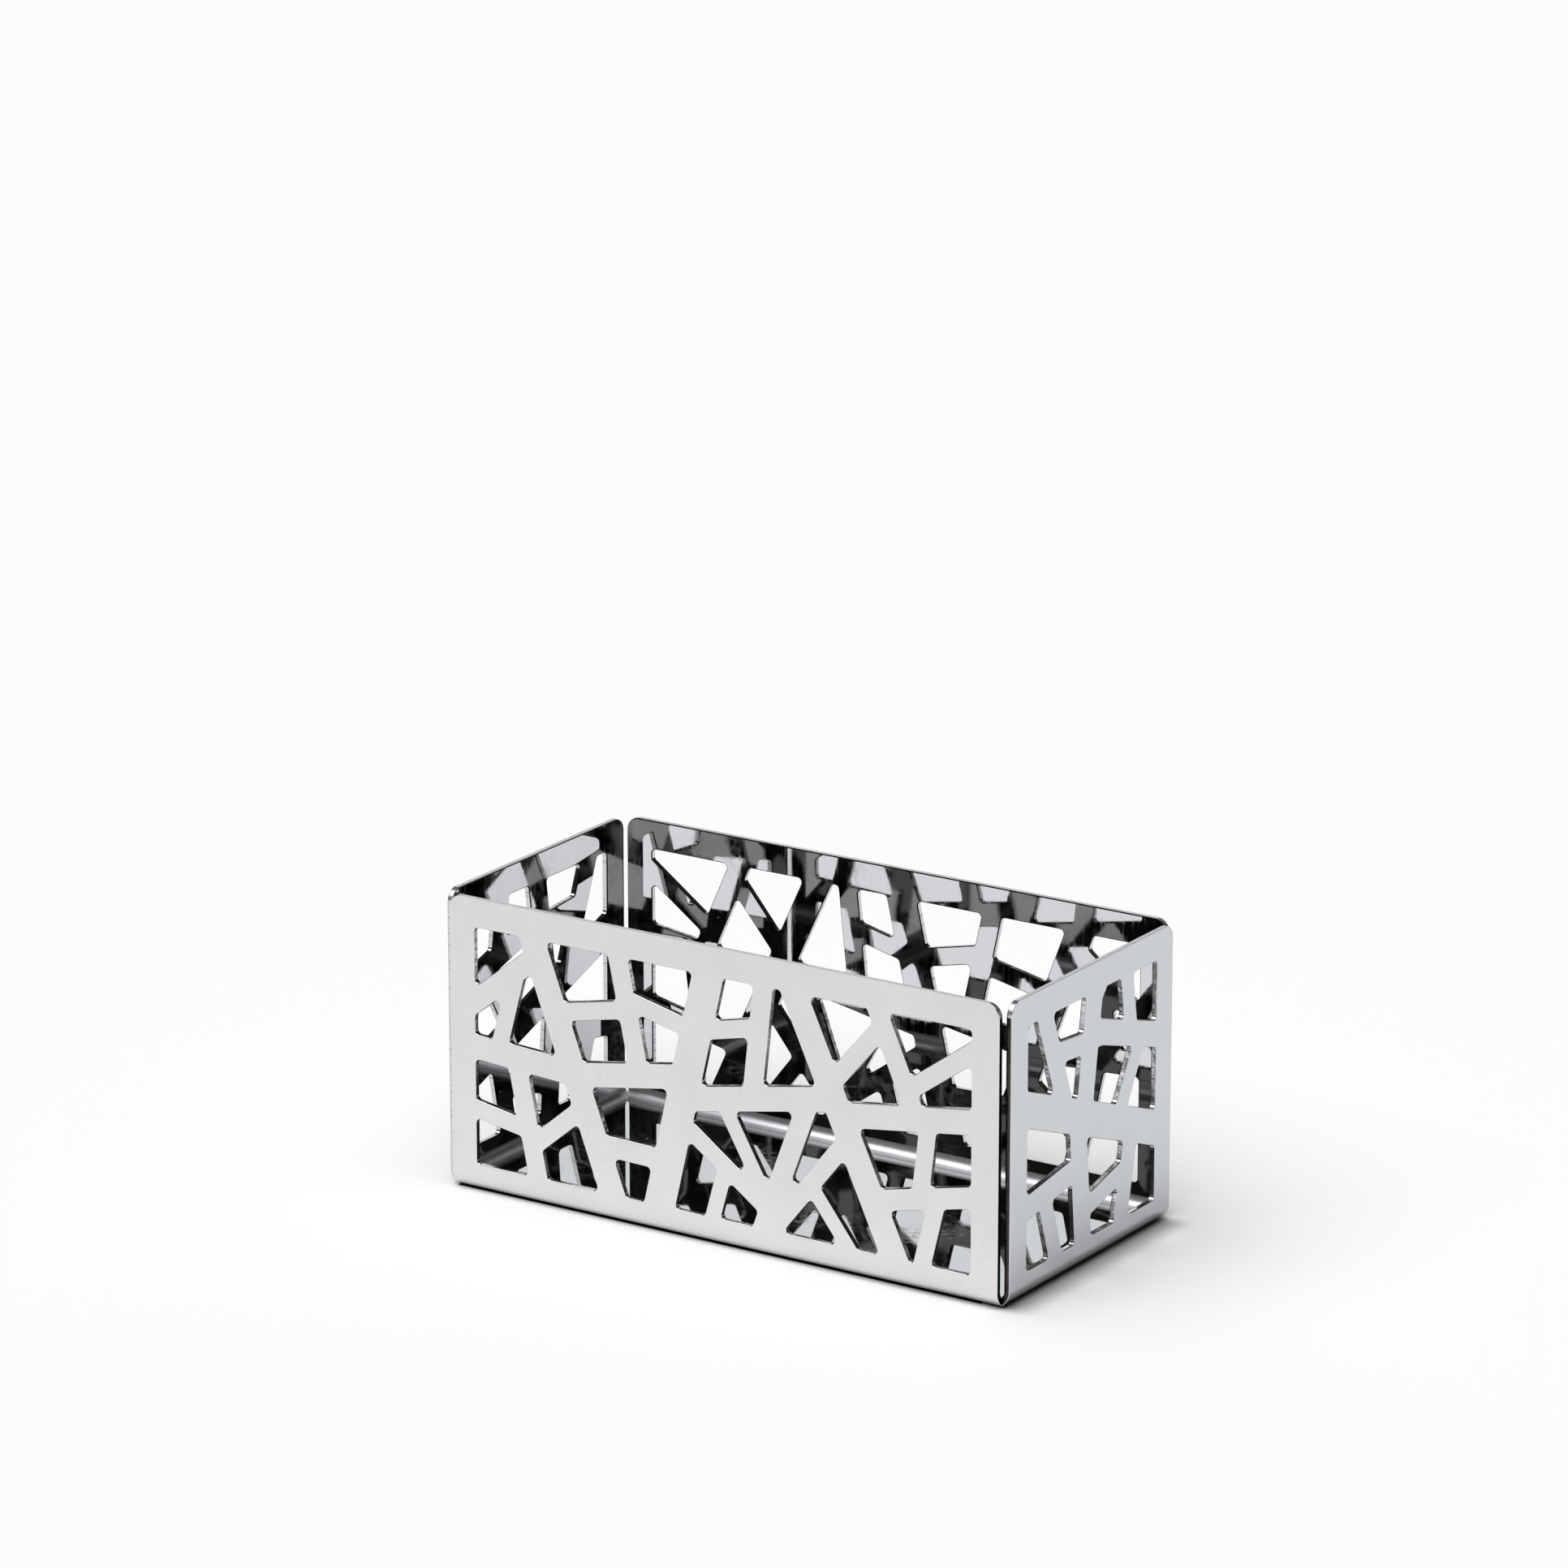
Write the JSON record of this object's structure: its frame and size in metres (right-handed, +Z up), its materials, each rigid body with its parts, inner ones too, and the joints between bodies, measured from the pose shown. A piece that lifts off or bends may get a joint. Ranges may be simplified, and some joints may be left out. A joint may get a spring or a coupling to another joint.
{
  "type": "sugar packet holder",
  "caption": "Open-topped rectangular sheet-steel tray with a solid floor, rounded bottom bends and cut-out lattice walls, which holds a row of upright sugar packets on a table.",
  "frame": {"origin": "middle of the flat underside of the floor, on the table", "axes": "+X along the length, -Y towards the front long wall, +Z up through the open top"},
  "size_m": [0.13, 0.063, 0.061],
  "materials": {
    "polished_steel": "mirror-polished stainless steel sheet"
  },
  "bodies": {
    "root": {"floor_plate": "polished_steel", "front_bend": "polished_steel", "rear_bend": "polished_steel", "left_bend": "polished_steel", "right_bend": "polished_steel", "front_wall": "polished_steel", "rear_wall": "polished_steel", "left_wall": "polished_steel", "right_wall": "polished_steel"}
  },
  "joints": []
}
